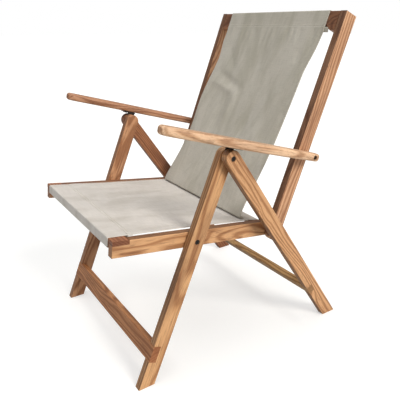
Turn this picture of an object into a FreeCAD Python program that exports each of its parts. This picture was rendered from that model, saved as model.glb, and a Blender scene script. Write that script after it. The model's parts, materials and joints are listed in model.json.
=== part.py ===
import FreeCAD, Part
import math
import os
import Sketcher

# Folding deck chair: an A-frame of front and rear legs, a seat frame and a back frame that
# fold together as a parallelogram with the armrests, and a canvas sling.
# Millimetres and degrees. +X is the sitter's left, the sitter faces -Y, +Z is up.
# The origin is on the floor, in the middle of the chair's footprint box.

SIZES = {
    # stance
    "leg_pivot_height": 573.3,     # leg-top bolts above the floor
    "front_lean": 23.0,            # front legs lean back from upright
    "rear_lean": 34.8,             # rear legs lean forward from upright
    "seat_fall": 7.26,             # seat falls towards the back
    "back_lean": 21.6,             # back stiles lean back from upright
    "arm_fall": 15.6,              # armrests fall towards the back
    "seat_pivot_drop": 220.75,     # leg-top bolt to seat bolt, along the front leg
    "link_length": 258.0,          # seat bolt to back bolt, and leg-top bolt to arm bolt
    "seat_inner_width": 450.0,     # between the seat rails
    # fold
    "fold_angle": 86.0,            # seat frame, from open to folded
    "rear_fold_ratio": 0.533,      # rear legs turn this share of the seat's angle
    # timber
    "stock_width": 41.0,
    "stock_thickness": 22.0,
    "edge_round": 2.0,
    "joint_fit": 0.1,              # gap left in each lapped or housed joint
    "stretcher_thickness": 20.0,
    "front_stretcher_height": 45.0,
    "front_stretcher_rise": 81.0,  # foot to stretcher, along the front leg
    "rear_stretcher_height": 28.0,
    "rear_stretcher_rise": 122.0,
    "rail_ahead": 213.0,           # seat rail in front of the seat bolt
    "front_rail_width": 42.0,
    "front_rail_depth": 22.0,
    "front_lap_depth": 11.0,
    "stile_height": 600.0,         # back bolt to the top of the stile
    "stile_tail": 8.0,             # back bolt to the centre of the stile's round end
    "stile_offset": 2.9,           # stile centre line behind the back bolt
    "top_rail_end_depth": 50.5,
    "top_rail_mid_depth": 38.5,
    "top_rail_shoulder": 16.0,     # width of each sloping shoulder
    "arm_width": 42.0,
    "arm_thickness": 21.0,
    "arm_round": 8.0,
    "arm_bow": 14.0,               # how far the outer edge swells at its middle
    "arm_ahead": 466.0,            # arm bolt to the arm's front tip
    "arm_behind": 28.0,            # arm bolt to the arm's rear tip
    # gaps between the layers
    "washer_gap": 1.0,             # rail to leg, rail to stile, stile to arm
    "bracket_gap": 4.0,            # front leg to rear leg, filled by the bracket's ear
    # hardware
    "bolt_diameter": 6.0,
    "running_fit": 0.08,           # radial
    "head_diameter": 12.0,
    "head_thickness": 2.4,
    "recess_diameter": 13.6,
    "recess_depth": 3.4,
    "arm_recess_depth": 6.0,
    "socket_size": 4.0,            # hexagon across the corners
    "socket_depth": 1.4,
    "nut_diameter": 11.0,
    "nut_thickness": 4.5,
    "thin_nut_thickness": 3.0,
    "washer_diameter": 15.0,
    "washer_thickness": 0.8,
    "insert_diameter": 10.0,
    "insert_length": 14.0,
    "groove_width": 7.4,
    "groove_depth": 8.0,
    "groove_end_gap": 0.5,         # back bolt's tip to the groove's floor
    "bracket_steel": 2.5,
    "bracket_ear_width": 24.0,
    "bracket_flange_ahead": 23.0,  # from the leg-top bolt to the flange's front end
    "bracket_flange_behind": 14.0,
    "bracket_flange_width": 32.0,
    "screw_diameter": 4.0,
    "screw_head_diameter": 7.6,
    "screw_head_height": 2.0,
    "screw_length": 15.0,
    "inner_screw_inset": 10.0,     # bracket's ear to each screw
    "outer_screw_inset": 24.0,
    "screw_ahead": 15.0,           # both screws in front of the leg-top bolt
    "dowel_diameter": 8.0,
    "dowel_depth": 11.0,           # in each of the two pieces
    "lap_dowel_depth": 7.7,        # the same, in the thin front laps
    # sling
    "cloth_thickness": 1.6,
    "cloth_gap": 0.4,
    "sling_seat_width": 444.0,
    "sling_back_width": 426.0,
    "sling_crease_width": 420.0,
    "sling_front_hem": 50.0,       # front edge to the sleeve's seam
    "crease_behind": 174.7,        # seat bolt to the seam between seat and back canvas
    "rear_rod_behind": 228.0,      # seat bolt to the rod at the back of the seat canvas
    "rear_rod_diameter": 14.0,
    "rear_rod_drop": 10.0,         # rod centre below the rail's top
    "rear_rod_seat": 8.0,          # how far each end goes into its rail
    "sling_rigid_share": 0.52,     # lower part of the back panel that goes slack in folding
}

doc = FreeCAD.newDocument("folding_deck_chair")
sheet = doc.addObject("Spreadsheet::Sheet", "Sizes")
for row, (alias, number) in enumerate(SIZES.items(), start=1):
    sheet.set("A%d" % row, alias.replace("_", " "))
    sheet.set("B%d" % row, "%g" % number)
    sheet.setAlias("B%d" % row, alias)
doc.recompute()


class Size:
    """A length or angle with its value and the sheet expression that gives it."""

    def __init__(self, value, text):
        self.value = float(value)
        self.text = text

    def __add__(self, other):
        other = as_size(other)
        return Size(self.value + other.value, "(%s + %s)" % (self.text, other.text))

    def __sub__(self, other):
        other = as_size(other)
        return Size(self.value - other.value, "(%s - %s)" % (self.text, other.text))

    def __mul__(self, other):
        other = as_size(other)
        return Size(self.value * other.value, "(%s * %s)" % (self.text, other.text))

    def __truediv__(self, other):
        other = as_size(other)
        return Size(self.value / other.value, "(%s / %s)" % (self.text, other.text))

    def __neg__(self):
        return Size(-self.value, "(0 - %s)" % self.text)


def as_size(item):
    return item if isinstance(item, Size) else Size(item, "%g" % item)


def size(alias):
    return Size(sheet.get(alias), "Sizes." + alias)


def sine(angle):
    return Size(math.sin(math.radians(angle.value)), "sin(%s)" % angle.text)


def cosine(angle):
    return Size(math.cos(math.radians(angle.value)), "cos(%s)" % angle.text)


def tangent(angle):
    return Size(math.tan(math.radians(angle.value)), "tan(%s)" % angle.text)


class Frame:
    """A stick's own axes: u along Y and v along Z, turned about X and moved to a pivot."""

    def __init__(self, origin, tilt):
        self.origin = origin
        self.tilt = tilt

    def point(self, u, v):
        u, v = as_size(u), as_size(v)
        return (
            self.origin[0] + u * cosine(self.tilt) - v * sine(self.tilt),
            self.origin[1] + u * sine(self.tilt) + v * cosine(self.tilt),
        )

    def local(self, place):
        dy, dz = place[0] - self.origin[0], place[1] - self.origin[1]
        return (
            dy * cosine(self.tilt) + dz * sine(self.tilt),
            dz * cosine(self.tilt) - dy * sine(self.tilt),
        )


# ---- shared sizes, layers and pivots -------------------------------------------------------

zero = as_size(0)
half_width = size("stock_width") / 2
stock = size("stock_thickness")
bolt_radius = size("bolt_diameter") / 2
hole_radius = bolt_radius + size("running_fit")
fit = size("joint_fit")
cloth = size("cloth_thickness")
cloth_reach = size("cloth_gap") + cloth

rail_in = size("seat_inner_width") / 2
rail_out = rail_in + stock
leg_in = rail_out + size("washer_gap")
leg_out = leg_in + stock
rear_in = leg_out + size("bracket_gap")
rear_out = rear_in + stock
arm_in = leg_out + size("washer_gap")
arm_out = arm_in + size("arm_width")

front_lean, rear_lean = size("front_lean"), size("rear_lean")
seat_fall, back_lean, arm_fall = size("seat_fall"), size("back_lean"), size("arm_fall")
pivot_height = size("leg_pivot_height")
link, drop = size("link_length"), size("seat_pivot_drop")

front_reach = (
    drop * sine(front_lean)
    + (size("rail_ahead") + cloth_reach) * cosine(seat_fall)
    + (size("front_rail_depth") + cloth_reach - half_width) * sine(seat_fall)
)
rear_reach = pivot_height * tangent(rear_lean) + half_width / cosine(rear_lean)

leg_pivot = ((front_reach - rear_reach) / 2, pivot_height)
front_leg_frame = Frame(leg_pivot, -front_lean)
rear_leg_frame = Frame(leg_pivot, rear_lean)
seat_pivot = front_leg_frame.point(0, -drop)
seat_frame = Frame(seat_pivot, -seat_fall)
back_pivot = seat_frame.point(link, 0)
back_frame = Frame(back_pivot, -back_lean)
arm_pivot = (leg_pivot[0] + link * cosine(seat_fall), leg_pivot[1] - link * sine(seat_fall))
arm_frame = Frame(arm_pivot, -arm_fall)
bracket_u, bracket_v = arm_frame.local(leg_pivot)

SIDES = (("left", 1), ("right", -1))


# ---- modelling helpers ---------------------------------------------------------------------


def bind(thing, path, amount):
    thing.setExpression(path, amount.text)


def new_body(label):
    body = doc.addObject("PartDesign::Body", label)
    body.Label = label
    return body


def set_place(body, x, place, tilt=None):
    """Moves a body to (x, place) and turns it about X by tilt."""
    angle = tilt.value if tilt else 0.0
    body.Placement = FreeCAD.Placement(
        FreeCAD.Vector(x.value, place[0].value, place[1].value),
        FreeCAD.Rotation(FreeCAD.Vector(1, 0, 0), angle),
    )
    bind(body, "Placement.Base.x", x)
    bind(body, "Placement.Base.y", place[0])
    bind(body, "Placement.Base.z", place[1])
    if tilt:
        bind(body, "Placement.Rotation.Angle", tilt)


def new_sketch(body, name, plane="YZ_Plane", offset=zero):
    """An empty sketch on one of the body's own planes, moved along its normal by offset."""
    sketch = body.newObject("Sketcher::SketchObject", name)
    origin_plane = [item for item in body.Origin.OriginFeatures if item.Role == plane][0]
    sketch.AttachmentSupport = [(origin_plane, "")]
    sketch.MapMode = "FlatFace"
    sketch.AttachmentOffset = FreeCAD.Placement(
        FreeCAD.Vector(0, 0, offset.value), FreeCAD.Rotation()
    )
    if offset is not zero:
        bind(sketch, "AttachmentOffset.Base.z", offset)
    return sketch


def hold(sketch, kind, items, amount):
    """Adds a sketch dimension and binds it to the sheet."""
    index = sketch.addConstraint(Sketcher.Constraint(kind, *items, amount.value))
    name = "d%d" % index
    sketch.renameConstraint(index, name)
    bind(sketch, "Constraints." + name, amount)


def hold_point(sketch, geometry, which, place):
    hold(sketch, "DistanceX", (-1, 1, geometry, which), as_size(place[0]))
    hold(sketch, "DistanceY", (-1, 1, geometry, which), as_size(place[1]))


def vector(place):
    return FreeCAD.Vector(as_size(place[0]).value, as_size(place[1]).value, 0)


def draw_outline(sketch, corners, arcs=None):
    """Closed outline through corners. arcs maps a corner's number to the arc that follows it,
    as (centre, held axis, direction): the centre is dimensioned along the held axis only,
    since its distance to the arc's two ends settles the other."""
    arcs = arcs or {}
    first = sketch.GeometryCount
    count = len(corners)
    for number, corner in enumerate(corners):
        start, end = vector(corner), vector(corners[(number + 1) % count])
        if number not in arcs:
            sketch.addGeometry(Part.LineSegment(start, end))
            continue
        centre = vector(arcs[number][0])
        radius = start.distanceToPoint(centre)
        begin = math.atan2(start.y - centre.y, start.x - centre.x)
        finish = math.atan2(end.y - centre.y, end.x - centre.x)
        circle = Part.Circle(centre, FreeCAD.Vector(0, 0, 1), radius)
        if arcs[number][2] == "clockwise":
            begin, finish = finish, begin
        sketch.addGeometry(Part.ArcOfCircle(circle, begin, finish))

    def ends(number):
        clockwise = number in arcs and arcs[number][2] == "clockwise"
        return (2, 1) if clockwise else (1, 2)

    for number in range(count):
        following = (number + 1) % count
        sketch.addConstraint(
            Sketcher.Constraint(
                "Coincident",
                first + number,
                ends(number)[1],
                first + following,
                ends(following)[0],
            )
        )
    for number, corner in enumerate(corners):
        hold_point(sketch, first + number, ends(number)[0], corner)
        if number in arcs:
            centre, axis, _ = arcs[number]
            kind = "DistanceX" if axis == "x" else "DistanceY"
            amount = as_size(centre[0] if axis == "x" else centre[1])
            hold(sketch, kind, (-1, 1, first + number, 3), amount)


def draw_circle(sketch, centre, radius):
    number = sketch.GeometryCount
    circle = Part.Circle(vector(centre), FreeCAD.Vector(0, 0, 1), radius.value)
    sketch.addGeometry(circle)
    hold_point(sketch, number, 3, centre)
    hold(sketch, "Radius", (number,), radius)


def draw_slot(sketch, start, end, radius):
    """A straight slot with round ends."""
    first = sketch.GeometryCount
    a, b = vector(start), vector(end)
    along = (b - a).normalize()
    side = FreeCAD.Vector(-along.y, along.x, 0) * radius.value
    heading = math.atan2(along.y, along.x)
    quarter = math.pi / 2
    up = FreeCAD.Vector(0, 0, 1)
    sketch.addGeometry(
        Part.ArcOfCircle(Part.Circle(a, up, radius.value), heading + quarter, heading + 3 * quarter)
    )
    sketch.addGeometry(Part.LineSegment(a - side, b - side))
    sketch.addGeometry(
        Part.ArcOfCircle(Part.Circle(b, up, radius.value), heading - quarter, heading + quarter)
    )
    sketch.addGeometry(Part.LineSegment(b + side, a + side))
    for number in range(4):
        following = first + (number + 1) % 4
        sketch.addConstraint(Sketcher.Constraint("Tangent", first + number, 2, following, 1))
    hold_point(sketch, first, 3, start)
    hold_point(sketch, first + 2, 3, end)
    hold(sketch, "Radius", (first,), radius)


def pad(body, sketch, length, side):
    """Pads to +X (side 1), to -X (side -1) or evenly both ways (side 0)."""
    feature = body.newObject("PartDesign::Pad", sketch.Name + "_pad")
    feature.Profile = sketch
    feature.Length = length.value
    bind(feature, "Length", length)
    if side == 0:
        feature.SideType = "Symmetric"
    feature.Reversed = side < 0
    sketch.Visibility = False
    doc.recompute()
    return feature


def pocket(body, sketch, depth):
    """Cuts to depth on both sides of the sketch, so it works from either face."""
    feature = body.newObject("PartDesign::Pocket", sketch.Name + "_cut")
    feature.Profile = sketch
    feature.SideType = "Symmetric"
    feature.Length = 2 * depth.value
    bind(feature, "Length", depth * 2)
    sketch.Visibility = False
    doc.recompute()
    return feature


def fillet(body, base, edges, radius):
    feature = body.newObject("PartDesign::Fillet", body.Label + "_round_%d" % len(body.Group))
    feature.Base = (base, edges)
    feature.Radius = radius.value
    bind(feature, "Radius", radius)
    doc.recompute()
    return feature


def outline_edges(feature, axis):
    """Edges that lie in the two faces across the given axis: the outline's own edges."""
    names = []
    box = feature.Shape.BoundBox
    low, high = (box.XMin, box.XMax) if axis == "x" else (box.ZMin, box.ZMax)
    for number, edge in enumerate(feature.Shape.Edges, start=1):
        edge_box = edge.BoundBox
        near, far = (
            (edge_box.XMin, edge_box.XMax) if axis == "x" else (edge_box.ZMin, edge_box.ZMax)
        )
        flat = far - near < 1e-4
        if flat and (abs(near - low) < 1e-3 or abs(near - high) < 1e-3):
            names.append("Edge%d" % number)
    return names


def crosswise_edges(feature):
    """Edges that run along X."""
    return [
        "Edge%d" % number
        for number, edge in enumerate(feature.Shape.Edges, start=1)
        if edge.BoundBox.YLength < 1e-4 and edge.BoundBox.ZLength < 1e-4
    ]


def drill(body, name, centre, radius, depth, offset=zero):
    sketch = new_sketch(body, body.Label + "_" + name, offset=offset)
    draw_circle(sketch, centre, radius)
    return pocket(body, sketch, depth)


def side_body(label, side, inner, place, tilt):
    body = new_body(label)
    set_place(body, inner * side, place, tilt)
    return body


def stick(label, side, inner, frame, corners, arcs=None):
    """A timber cut to an outline in its frame, one stock thick, with its outline eased."""
    body = side_body(label, side, inner, frame.origin, frame.tilt)
    sketch = new_sketch(body, label + "_outline")
    draw_outline(sketch, corners, arcs)
    blank = pad(body, sketch, stock, side)
    fillet(body, blank, outline_edges(blank, "x"), size("edge_round"))
    return body


def crossbar(label, frame, low, high, half_length, rounded=True):
    """A bar across the chair, rectangular between the corners low and high in its frame."""
    body = new_body(label)
    set_place(body, zero, frame.origin, frame.tilt)
    sketch = new_sketch(body, label + "_section")
    draw_outline(sketch, [low, (high[0], low[1]), high, (low[0], high[1])])
    blank = pad(body, sketch, half_length * 2, 0)
    if rounded:
        fillet(body, blank, crosswise_edges(blank), size("edge_round"))
    return body


def notch(body, name, low, high):
    """A rectangular housing cut right across a timber."""
    sketch = new_sketch(body, body.Label + "_" + name)
    draw_outline(sketch, [low, (high[0], low[1]), high, (low[0], high[1])])
    return pocket(body, sketch, stock * 2)


def turned(label, side, place, steps, bore=None):
    """A solid of revolution about X: steps are (from, to, radius), outward from the middle."""
    body = new_body(label)
    set_place(body, zero, place)
    sketch = new_sketch(body, label + "_profile", "XY_Plane")
    base = as_size(bore) if bore else zero
    corners = [(steps[0][0] * side, base)]
    for start, end, radius in steps:
        corners += [(start * side, radius), (end * side, radius)]
    corners.append((steps[-1][1] * side, base))
    draw_outline(sketch, corners)
    feature = body.newObject("PartDesign::Revolution", label + "_turn")
    feature.Profile = sketch
    feature.ReferenceAxis = (sketch, ["H_Axis"])
    feature.Angle = 360.0
    sketch.Visibility = False
    doc.recompute()
    return body


def hex_socket(body, side, face):
    """The key socket in a bolt head's outer face."""
    sketch = new_sketch(body, body.Label + "_socket", offset=face * side)
    radius = size("socket_size") / 2
    corners = []
    for turn in range(6):
        angle = as_size(60 * turn)
        corners.append((radius * cosine(angle), radius * sine(angle)))
    draw_outline(sketch, corners)
    return pocket(body, sketch, size("socket_depth"))


def cylinder(name, radius, length, start, direction, tilt=None):
    """A plain cylinder from start, along X, or along its frame's u or v at tilt."""
    rod = doc.addObject("Part::Cylinder", name)
    bind(rod, "Radius", radius)
    bind(rod, "Height", length)
    if direction == "x":
        turn = FreeCAD.Rotation(FreeCAD.Vector(0, 1, 0), 90)
        rod.Placement = FreeCAD.Placement(FreeCAD.Vector(), turn)
    else:
        angle = tilt - 90 if direction == "u" else tilt
        turn = FreeCAD.Rotation(FreeCAD.Vector(1, 0, 0), angle.value)
        rod.Placement = FreeCAD.Placement(FreeCAD.Vector(), turn)
        bind(rod, "Placement.Rotation.Angle", angle)
    for axis, amount in zip("xyz", start):
        bind(rod, "Placement.Base." + axis, amount)
    return rod


def group(label, members):
    """Several like pieces that share one node, as separate solids."""
    result = doc.addObject("Part::Compound", label)
    result.Label = label
    result.Links = members
    return result


nodes = []


def keep(*objects):
    nodes.extend(objects)


# ---- front legs and their stretcher --------------------------------------------------------

front_foot = pivot_height / cosine(front_lean)
front_foot_slope = half_width * tangent(front_lean)
front_stretcher_low = (
    -half_width,
    -front_foot - front_foot_slope + size("front_stretcher_rise"),
)
front_stretcher_high = (
    -half_width + size("stretcher_thickness"),
    front_stretcher_low[1] + size("front_stretcher_height"),
)
front_lap_v = (front_stretcher_low[1] + front_stretcher_high[1]) / 2
front_lap_x = (leg_in + leg_out) / 2
dowel_radius = size("dowel_diameter") / 2
dowel_hole = dowel_radius + size("running_fit")
dowel_depth = size("dowel_depth")


def dowel_hole_along(body, name, x, v, u):
    """A dowel hole along u, as deep each way from the joint face at u."""
    sketch = new_sketch(body, body.Label + "_" + name, "XZ_Plane", offset=-u)
    draw_circle(sketch, (x, v), dowel_hole)
    return pocket(body, sketch, dowel_depth + fit)


def make_front_leg(name, side):
    body = stick(
        "front_leg_" + name,
        side,
        leg_in,
        front_leg_frame,
        [
            (-half_width, -front_foot - front_foot_slope),
            (half_width, -front_foot + front_foot_slope),
            (half_width, zero),
            (-half_width, zero),
        ],
        {2: ((zero, zero), "y", "counter")},
    )
    notch(
        body,
        "housing",
        (-half_width - stock, front_stretcher_low[1] - fit),
        (front_stretcher_high[0] + fit, front_stretcher_high[1] + fit),
    )
    drill(body, "seat_bolt_hole", (zero, -drop), hole_radius, stock * 2)
    drill(
        body,
        "insert_hole",
        (zero, zero),
        size("insert_diameter") / 2 + size("running_fit"),
        size("insert_length") + fit,
        stock * side,
    )
    drill(
        body,
        "head_recess",
        (zero, -drop),
        size("recess_diameter") / 2,
        size("recess_depth"),
        stock * side,
    )
    dowel_hole_along(body, "dowel_hole", stock / 2 * side, front_lap_v, front_stretcher_high[0])
    return body


front_stretcher = crossbar(
    "front_stretcher", front_leg_frame, front_stretcher_low, front_stretcher_high, leg_out
)
for name, side in SIDES:
    keep(make_front_leg(name, side))
    dowel_hole_along(
        front_stretcher,
        "dowel_hole_" + name,
        front_lap_x * side,
        front_lap_v,
        front_stretcher_high[0],
    )
keep(front_stretcher)

# ---- rear legs, with the grooves that the back bolts slide in, and their stretcher ---------

rear_foot = pivot_height / cosine(rear_lean)
rear_foot_slope = half_width * tangent(rear_lean)
rear_stretcher_low = (-half_width, -rear_foot + rear_foot_slope + size("rear_stretcher_rise"))
rear_stretcher_high = (
    -half_width + size("stretcher_thickness"),
    rear_stretcher_low[1] + size("rear_stretcher_height"),
)
rear_lap_v = (rear_stretcher_low[1] + rear_stretcher_high[1]) / 2
rear_lap_x = (rear_in + rear_out) / 2

fold = size("fold_angle")
folded_seat = Frame(seat_pivot, -seat_fall - fold)
folded_rear = Frame(leg_pivot, rear_lean - fold * size("rear_fold_ratio"))
groove_top = rear_leg_frame.local(back_pivot)
groove_bottom = folded_rear.local(folded_seat.point(link, 0))


def make_rear_leg(name, side):
    body = stick(
        "rear_leg_" + name,
        side,
        rear_in,
        rear_leg_frame,
        [
            (-half_width, -rear_foot + rear_foot_slope),
            (half_width, -rear_foot - rear_foot_slope),
            (half_width, zero),
            (-half_width, zero),
        ],
        {2: ((zero, zero), "y", "counter")},
    )
    notch(
        body,
        "housing",
        (-half_width - stock, rear_stretcher_low[1] - fit),
        (rear_stretcher_high[0] + fit, rear_stretcher_high[1] + fit),
    )
    drill(body, "leg_bolt_hole", (zero, zero), hole_radius, stock * 2)
    drill(
        body,
        "head_recess",
        (zero, zero),
        size("recess_diameter") / 2,
        size("recess_depth"),
        stock * side,
    )
    groove = new_sketch(body, body.Label + "_groove")
    draw_slot(groove, groove_top, groove_bottom, size("groove_width") / 2)
    pocket(body, groove, size("groove_depth"))
    dowel_hole_along(body, "dowel_hole", stock / 2 * side, rear_lap_v, rear_stretcher_high[0])
    return body


rear_stretcher = crossbar(
    "rear_stretcher", rear_leg_frame, rear_stretcher_low, rear_stretcher_high, rear_out
)
for name, side in SIDES:
    keep(make_rear_leg(name, side))
    dowel_hole_along(
        rear_stretcher,
        "dowel_hole_" + name,
        rear_lap_x * side,
        rear_lap_v,
        rear_stretcher_high[0],
    )
keep(rear_stretcher)

# ---- seat frame ----------------------------------------------------------------------------

rail_front = -size("rail_ahead")
front_rail_rear = rail_front + size("front_rail_width")
front_rail_under = half_width - size("front_rail_depth")
lap_under = half_width - size("front_lap_depth")
rod_place = (size("rear_rod_behind"), half_width - size("rear_rod_drop"))
rod_radius = size("rear_rod_diameter") / 2
front_rail_lap_x = (rail_in + rail_out) / 2
front_rail_lap_u = (rail_front + front_rail_rear) / 2


def lap_dowel_hole(body, name, x, u, depth):
    """A dowel hole up through the lap joint at the front of a rail."""
    sketch = new_sketch(body, body.Label + "_" + name, "XY_Plane", offset=lap_under)
    draw_circle(sketch, (x, u), dowel_hole)
    return pocket(body, sketch, depth)


lap_dowel_depth = size("lap_dowel_depth")


def make_seat_rail(name, side):
    body = stick(
        "seat_rail_" + name,
        side,
        rail_in,
        seat_frame,
        [(rail_front, -half_width), (link, -half_width), (link, half_width), (rail_front, half_width)],
        {1: ((link, zero), "x", "counter")},
    )
    notch(
        body,
        "front_lap",
        (rail_front - stock, lap_under),
        (front_rail_rear + fit, half_width + stock),
    )
    nut_hole = size("nut_diameter") / 2 + fit
    for label, u in (("seat_bolt", zero), ("back_bolt", link)):
        drill(body, label + "_hole", (u, zero), hole_radius, stock * 2)
    drill(body, "nut_recess", (zero, zero), nut_hole, size("nut_thickness") + fit)
    drill(
        body,
        "head_recess",
        (link, zero),
        size("recess_diameter") / 2,
        size("head_thickness") + fit,
    )
    drill(body, "rod_hole", rod_place, rod_radius + size("running_fit"), size("rear_rod_seat"))
    lap_dowel_hole(body, "dowel_hole", stock / 2 * side, front_rail_lap_u, lap_dowel_depth + fit)
    return body


def make_front_rail():
    """A board lapped on top of both rails, full depth between them."""
    body = new_body("seat_front_rail")
    set_place(body, zero, seat_frame.origin, seat_frame.tilt)
    upper = new_sketch(body, "front_rail_upper")
    draw_outline(
        upper,
        [
            (rail_front, lap_under + fit),
            (front_rail_rear, lap_under + fit),
            (front_rail_rear, half_width),
            (rail_front, half_width),
        ],
    )
    pad(body, upper, rail_out * 2, 0)
    lower = new_sketch(body, "front_rail_lower")
    draw_outline(
        lower,
        [
            (rail_front, front_rail_under),
            (front_rail_rear, front_rail_under),
            (front_rail_rear, lap_under + fit * 2),
            (rail_front, lap_under + fit * 2),
        ],
    )
    blank = pad(body, lower, (rail_in - fit) * 2, 0)
    names = []
    for number, edge in enumerate(blank.Shape.Edges, start=1):
        box = edge.BoundBox
        level = box.YLength < 1e-4 and box.ZLength < 1e-4
        outermost = abs(box.ZMax - half_width.value) < 1e-3
        outermost = outermost or abs(box.ZMin - front_rail_under.value) < 1e-3
        if level and outermost:
            names.append("Edge%d" % number)
    fillet(body, blank, names, size("edge_round"))
    for name, side in SIDES:
        lap_dowel_hole(
            body,
            "dowel_hole_" + name,
            front_rail_lap_x * side,
            front_rail_lap_u,
            lap_dowel_depth + fit,
        )
    return body


def make_rear_rod():
    body = new_body("sling_rear_rod")
    set_place(body, zero, seat_frame.origin, seat_frame.tilt)
    sketch = new_sketch(body, "rear_rod_section")
    draw_circle(sketch, rod_place, rod_radius)
    pad(body, sketch, (rail_in + size("rear_rod_seat") - fit) * 2, 0)
    return body


for name, side in SIDES:
    keep(make_seat_rail(name, side))
keep(make_front_rail(), make_rear_rod())

# ---- back frame ----------------------------------------------------------------------------

stile_front = size("stile_offset") - half_width
stile_rear = size("stile_offset") + half_width
stile_top = size("stile_height")
arm_bolt_u, arm_bolt_v = back_frame.local(arm_pivot)
top_rail_end = stile_top - size("top_rail_end_depth")
top_rail_mid = stile_top - size("top_rail_mid_depth")
top_dowel_rise = size("top_rail_end_depth") / 4


def top_dowel_places():
    """Heights of the two dowels in each end of the top rail."""
    middle = stile_top - size("top_rail_end_depth") / 2
    return middle - top_dowel_rise, middle + top_dowel_rise


top_dowel_u = stile_front + stock / 2


def make_stile(name, side):
    tail = -size("stile_tail")
    body = stick(
        "back_stile_" + name,
        side,
        leg_in,
        back_frame,
        [(stile_front, tail), (stile_rear, tail), (stile_rear, stile_top), (stile_front, stile_top)],
        {0: ((size("stile_offset"), tail), "y", "counter")},
    )
    drill(body, "back_bolt_hole", (zero, zero), hole_radius, stock * 2)
    drill(
        body,
        "insert_hole",
        (arm_bolt_u, arm_bolt_v),
        size("insert_diameter") / 2 + size("running_fit"),
        size("insert_length") + fit,
        stock * side,
    )
    for number, v in enumerate(top_dowel_places()):
        drill(body, "dowel_hole_%d" % number, (top_dowel_u, v), dowel_hole, dowel_depth + fit)
    return body


def make_top_rail():
    """The board between the stiles, shallower where the sling's sleeve goes round it."""
    body = new_body("back_top_rail")
    set_place(body, zero, back_frame.origin, back_frame.tilt)
    sketch = new_sketch(body, "top_rail_face", "XZ_Plane", offset=-stile_front)
    end_x = leg_in - fit
    sling_x = size("sling_back_width") / 2 + cloth
    shoulder_x = sling_x + size("top_rail_shoulder")
    draw_outline(
        sketch,
        [
            (-end_x, top_rail_end),
            (-shoulder_x, top_rail_end),
            (-sling_x, top_rail_mid),
            (sling_x, top_rail_mid),
            (shoulder_x, top_rail_end),
            (end_x, top_rail_end),
            (end_x, stile_top),
            (-end_x, stile_top),
        ],
    )
    blank = pad(body, sketch, stock, -1)
    names = []
    for number, edge in enumerate(blank.Shape.Edges, start=1):
        if edge.BoundBox.YLength < 1e-4 and edge.BoundBox.XLength > 1:
            names.append("Edge%d" % number)
    fillet(body, blank, names, size("edge_round"))
    for name, side in SIDES:
        for number, v in enumerate(top_dowel_places()):
            label = "dowel_hole_%s_%d" % (name, number)
            place = (top_dowel_u, v)
            drill(body, label, place, dowel_hole, dowel_depth + fit, end_x * side)
    return body


for name, side in SIDES:
    keep(make_stile(name, side))
keep(make_top_rail())

# ---- armrests and their brackets -----------------------------------------------------------

half_arm = size("arm_width") / 2
arm_under = -size("arm_thickness") / 2
ear_in = leg_out + (size("bracket_gap") - size("bracket_steel")) / 2
flange_under = arm_under - size("bracket_steel")
screw_radius = size("screw_diameter") / 2
screw_u = bracket_u - size("screw_ahead")
screw_places = {
    "inner": ear_in + size("inner_screw_inset"),
    "outer": ear_in + size("outer_screw_inset"),
}


def make_armrest(name, side):
    """A board with round ends and full round edges, its outer edge swelling to its middle."""
    body = side_body("armrest_" + name, side, arm_in, arm_frame.origin, arm_frame.tilt)
    sketch = new_sketch(body, body.Label + "_outline", "XY_Plane")
    front, rear = -size("arm_ahead") + half_arm, size("arm_behind") - half_arm
    half_length, bow = (rear - front) / 2, size("arm_bow")
    spread = half_length * half_length + bow * bow
    narrowing = half_length * half_length - bow * bow
    meet_x = (half_arm + half_arm * narrowing / spread) * side
    meet_beyond = half_arm * half_length * bow * 2 / spread
    front_meet, rear_meet = (meet_x, front - meet_beyond), (meet_x, rear + meet_beyond)
    end_centre = half_arm * side
    front_end = ((end_centre, front), "y", "counter")
    rear_end = ((end_centre, rear), "y", "counter")
    swell_centre = ((half_arm - narrowing / (bow * 2)) * side, (front + rear) / 2)
    swell = (swell_centre, "x", "counter")
    if side > 0:
        corners = [(zero, front), front_meet, rear_meet, (zero, rear)]
        arcs = {0: front_end, 1: swell, 2: rear_end}
    else:
        corners = [front_meet, (zero, front), (zero, rear), rear_meet]
        arcs = {0: front_end, 2: rear_end, 3: swell}
    draw_outline(sketch, corners, arcs)
    blank = pad(body, sketch, size("arm_thickness"), 0)
    fillet(body, blank, outline_edges(blank, "z"), size("arm_round"))
    drill(body, "arm_bolt_hole", (zero, zero), hole_radius, size("arm_width") * 2)
    drill(
        body,
        "head_recess",
        (zero, zero),
        size("recess_diameter") / 2,
        size("arm_recess_depth"),
        size("arm_width") * side,
    )
    holes = new_sketch(body, body.Label + "_screw_holes", "XY_Plane", offset=arm_under)
    for x in screw_places.values():
        draw_circle(holes, ((x - arm_in) * side, screw_u), screw_radius + size("running_fit"))
    pocket(body, holes, size("screw_length") - size("bracket_steel") + fit)
    return body


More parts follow.
